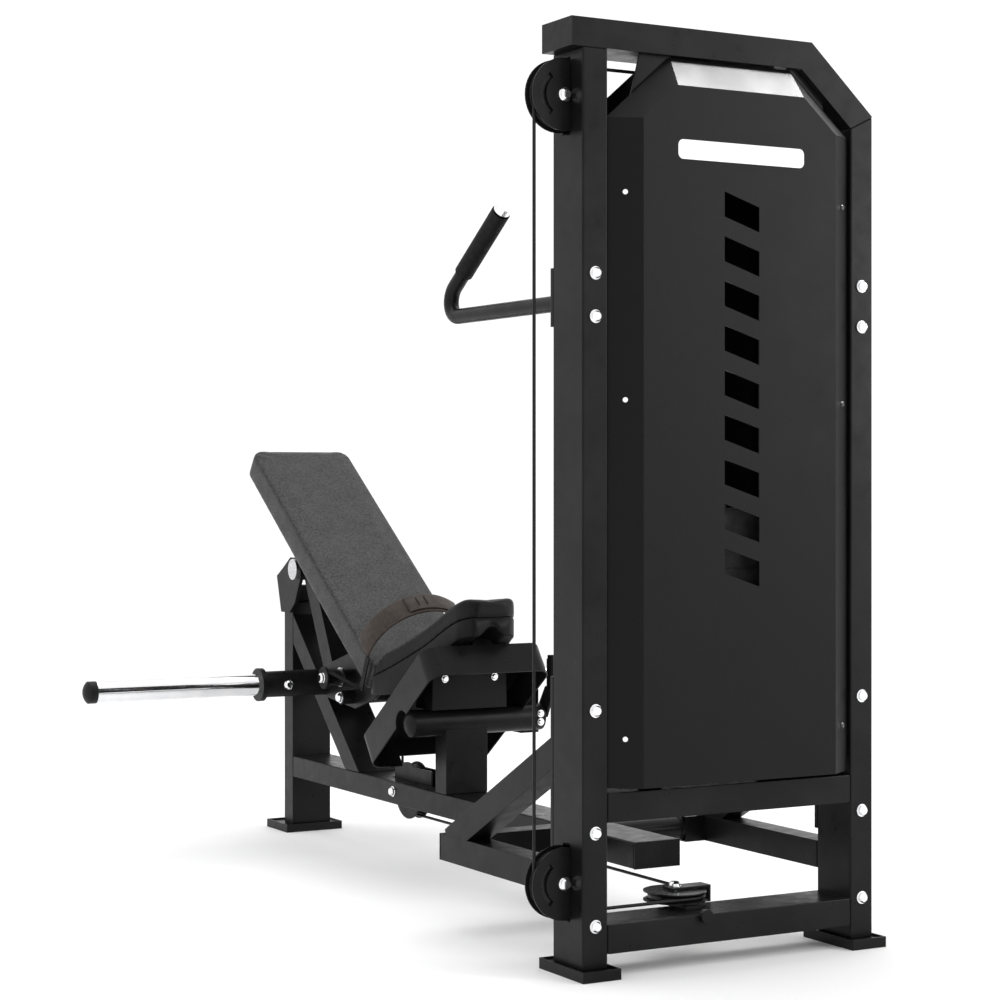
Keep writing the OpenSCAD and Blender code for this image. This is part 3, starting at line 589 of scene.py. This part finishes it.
def make_saddle():
    """The saddle's foam, dished in the middle and dropping over the nose."""
    rear, nose = SADDLE_LINE[0][0], SADDLE_LINE[-1][0]
    count = 40
    rings = []
    for i in range(count + 1):
        y = rear - 2 - (rear - nose - 4) * i / count
        drop = 14 * max(0, 1 - (y - nose) / 22) ** 2
        rim = along_line(SADDLE_RIM, y)
        section = saddle_section(y, rim - FOAM_DEPTH + 1, rim - 1 - drop, 1.5, 34, 14)
        rings.append(behind_pad(section, 2 * MM))
    cushion = add_piece("saddle_cushion", *skin(rings), "saddle_vinyl", "arm")
    def on_shell(co):
        y = (co.y - FRONT_FACE_Y) / MM
        return co.z / MM < along_line(SADDLE_RIM, y) - FOAM_DEPTH / 2
    inflate(cushion, 4 * MM, 3 * MM, on_shell)
    finish_cushion(cushion)
    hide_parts("saddle_pad")


def make_saddle_shell():
    """The covered shell under the saddle's foam, hollowed below where it sits over the buffer."""
    rear, nose = SADDLE_LINE[0][0], SADDLE_LINE[-1][0]
    buffer_low, buffer_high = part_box("rest_buffer")
    reach = (buffer_high[0] - buffer_low[0]) / 2 + 2 * MM
    count = 40
    rings = []
    for i in range(count + 1):
        y = rear - 6 - (rear - nose - 10) * i / count
        foot = along_line(SADDLE_LINE, y) + SHELL_FOOT
        section = saddle_section(y, foot + 1, along_line(SADDLE_RIM, y) - FOAM_DEPTH + 0.4, 2, 0, 2.5)
        lift = min(max((1010 - y) / 30, 0), 1) * 20 * MM
        floor = (foot + 6) * MM
        for point in section:
            if point.z < floor and abs(point.x) < reach:
                point.z += lift * math.cos(point.x / reach * math.pi / 2)
        rings.append(behind_pad(section, 3 * MM))
    shell = add_piece("saddle_shell_shown", *skin(rings), "saddle_vinyl", "arm")
    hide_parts("saddle_shell")


# ---------------------------------------------------------------- hip belt

BELT_START = 26 * MM
BELT_WIDTH = 58 * MM
BELT_CENTRE = 66 * MM
BELT_THICK = 4 * MM
# A strap's section as (part of its width, part of its thickness), with soft edges
STRAP_SECTION = [
    (0, 0.2), (0, 0.8), (0.04, 1), (0.5, 1.06), (0.96, 1), (1, 0.8), (1, 0.2), (0.96, 0), (0.04, 0)]


def belt_arch(radius, start, end, steps):
    """Points (across, out) along the belt's arch between two angles, in degrees from the right."""
    points = []
    for i in range(steps + 1):
        turn = math.radians(start + (end - start) * i / steps)
        rise = 0.97 - 0.13 * math.cos(turn) + 0.01 * math.sin(5 * turn)
        points.append((math.cos(turn) * radius, BELT_CENTRE + math.sin(turn) * radius * rise))
    return points


def strap(name, path, along, thick, shift):
    """A flat strap: path is its line seen from the end, along its two edges. shift leans its middle."""
    to_row = pad_frame()
    rings = []
    for i, (x, out) in enumerate(path):
        before, after = path[max(i - 1, 0)], path[min(i + 1, len(path) - 1)]
        step = Vector((after[0] - before[0], after[1] - before[1])).normalized()
        side = Vector((step.y, -step.x))
        lean = shift * math.sin(math.pi * i / (len(path) - 1))
        ring = []
        for edge, depth in STRAP_SECTION:
            place = along[0] + (along[1] - along[0]) * edge + lean
            ring.append(to_row @ Vector((x + side.x * thick * depth, place, out + side.y * thick * depth)))
        rings.append(ring)
    return add_piece(name, *skin(rings), "belt_leather", "arm")


def make_belt():
    """The belt's arched band, with a buckle flap and its two slits over the middle."""
    low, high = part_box("hip_belt")
    radius = (high[0] - low[0]) / 2 - BELT_THICK
    edges = (BELT_START, BELT_START + BELT_WIDTH)
    belt = strap("belt_band", belt_arch(radius, 4, 176, 60), edges, BELT_THICK, -3 * MM)
    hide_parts("hip_belt")
    flap_edges = (edges[0] + 5 * MM, edges[1] - 5 * MM)
    strap("belt_flap", belt_arch(radius + BELT_THICK + 0.6 * MM, 62, 118, 24), flap_edges, 3 * MM, -1 * MM)
    for turn in (98, 106):
        slit = belt_arch(radius + BELT_THICK + 3.8 * MM, turn, turn + 1.2, 2)
        piece = strap(f"belt_slit_{turn}", slit, (edges[0] + 16 * MM, edges[1] - 16 * MM), 0.8 * MM, 0)
        piece.data.materials[0] = MATERIALS["black_rubber"]


def post_loop(tip, post, radius):
    """A strap's line from its tip round a post and back, seen from the side."""
    turns = [math.radians(62 - 205 * i / 16) for i in range(17)]
    return [tip] + [post + radius * Vector((math.cos(turn), math.sin(turn))) for turn in turns]


def make_belt_legs():
    """Narrow webbing from the belt's two ends down past the pad, and a loop of it round each strap post."""
    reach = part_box("hip_belt")[1][0]
    post = STRAP_POST
    to_row = pad_frame()
    drop = []
    for along, out in [(18, 76), (34, 76), (20, -4), (4, -4)]:
        place = to_row @ Vector((0, along * MM, out * MM))
        drop.append(Vector((place.y, place.z)))
    tip = (drop[2] + drop[3]) / 2
    outer = post_loop(tip, post, 21 * MM)
    inner = post_loop(tip + (post - tip).normalized() * 6 * MM, post, 18.5 * MM)
    for side, end in ((-1, "left"), (1, "right")):
        rings = [[Vector((side * (reach - depth * MM), p.x, p.y)) for p in drop] for depth in (3.5, 0.5)]
        add_piece(f"belt_drop_{end}", *skin(rings), "black_rubber", "arm", smooth=False)
        near, far = side * (reach - 10 * MM), side * (reach + 4 * MM)
        rings = [[Vector((x, p.x, p.y)) for p in line] for x, line in
                 ((near, outer), (far, outer), (far, inner), (near, inner), (near, outer))]
        add_piece(f"belt_loop_{end}", *skin(rings, closed_ends=False), "black_rubber", "arm", smooth=False)


# ---------------------------------------------------------------- cables that change length, drawn as fixed tubes

def cable_between(name, node):
    """A jacketed cable in place of a CAD node, as a straight tube up the node's box."""
    low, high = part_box(node)
    centre = Vector(((low[0] + high[0]) / 2, (low[1] + high[1]) / 2, 0))
    radius = (high[0] - low[0]) / 2
    count = 60
    rings = []
    for i in range(count + 1):
        height = low[2] + (high[2] - low[2]) * i / count
        rings.append([
            centre + Vector((
                radius * math.cos(2 * math.pi * j / 14), radius * math.sin(2 * math.pi * j / 14), height))
            for j in range(14)])
    piece = add_piece(name, *skin(rings), "cable_jacket")
    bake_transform(piece)
    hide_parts(node)


# ---------------------------------------------------------------- small details

def make_stripe():
    """A plain white stripe across the head of the front shroud."""
    half, centre, height = 134 * MM, 1424 * MM, 17 * MM
    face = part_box("front_shroud")[0][1] - 0.2 * MM
    radius = height * 0.6
    rings = []
    for depth, inset in [(0.4, 0), (-0.2, 0), (-0.5, 0.5)]:
        outline = round_rectangle(
            -half + inset * MM, half - inset * MM, centre - height + inset * MM, centre + height - inset * MM,
            radius, radius, 6)
        rings.append([Vector((x, face + depth * MM, z)) for x, z in outline])
    stripe = add_piece("white_stripe", *skin(rings), "shroud_paint", "root", smooth=False)
    stripe.data.materials[0] = make_white_print()


def sleeve_ring(name, centre, axis, radius, width, body, slot):
    """A rolled ring round a shaft."""
    turn = Vector((0, 0, 1)).rotation_difference(Vector(axis)).to_matrix().to_4x4()
    place = Matrix.Translation(centre) @ turn
    rings = []
    for i in range(49):
        around = 2 * math.pi * i / 48
        ring = []
        for j in range(12):
            roll = 2 * math.pi * j / 12
            reach = radius + 0.5 * width * math.cos(roll)
            lift = 0.5 * width * math.sin(roll)
            ring.append(place @ Vector((reach * math.cos(around), reach * math.sin(around), lift)))
        rings.append(ring)
    return add_piece(name, *skin(rings, closed_ends=False), slot, body)


def make_weld_rings():
    """Weld beads where the round tubes and horn flanges meet the frame."""
    low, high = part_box("horn_crossbar")
    centre_y, centre_z = (low[1] + high[1]) / 2, (low[2] + high[2]) / 2
    along, radius, bead = (1, 0, 0), 30 * MM, 3 * MM
    for side, end in ((-1, "left"), (1, "right")):
        for label, x in (("inner", 50.5 * MM), ("outer", high[0] - 12.5 * MM)):
            centre = (side * x, centre_y, centre_z)
            sleeve_ring(f"weld_{label}_{end}", centre, along, radius, bead, "arm", "frame_paint")


make_camera()
make_studio()
make_floor()
paint_frame()
roll_corners([
    "left_upright", "right_upright", "top_beam", "middle_cross_beam", "lower_cross_beam", "base_beam",
    "side_rails", "tower_braces", "bench_upright", "long_brace", "rest_post"], ROLLED_CORNER)
roll_corners(["feet", "tray_bracket", "lever_housing"], PLATE_CORNER)
make_back_pad()
make_pad_backing()
make_saddle()
make_saddle_shell()
make_belt()
make_belt_legs()
cable_between("stack_cable_shown", "stack_cable")
cable_between("arm_cable_shown", "arm_cable")
make_stripe()
make_weld_rings()
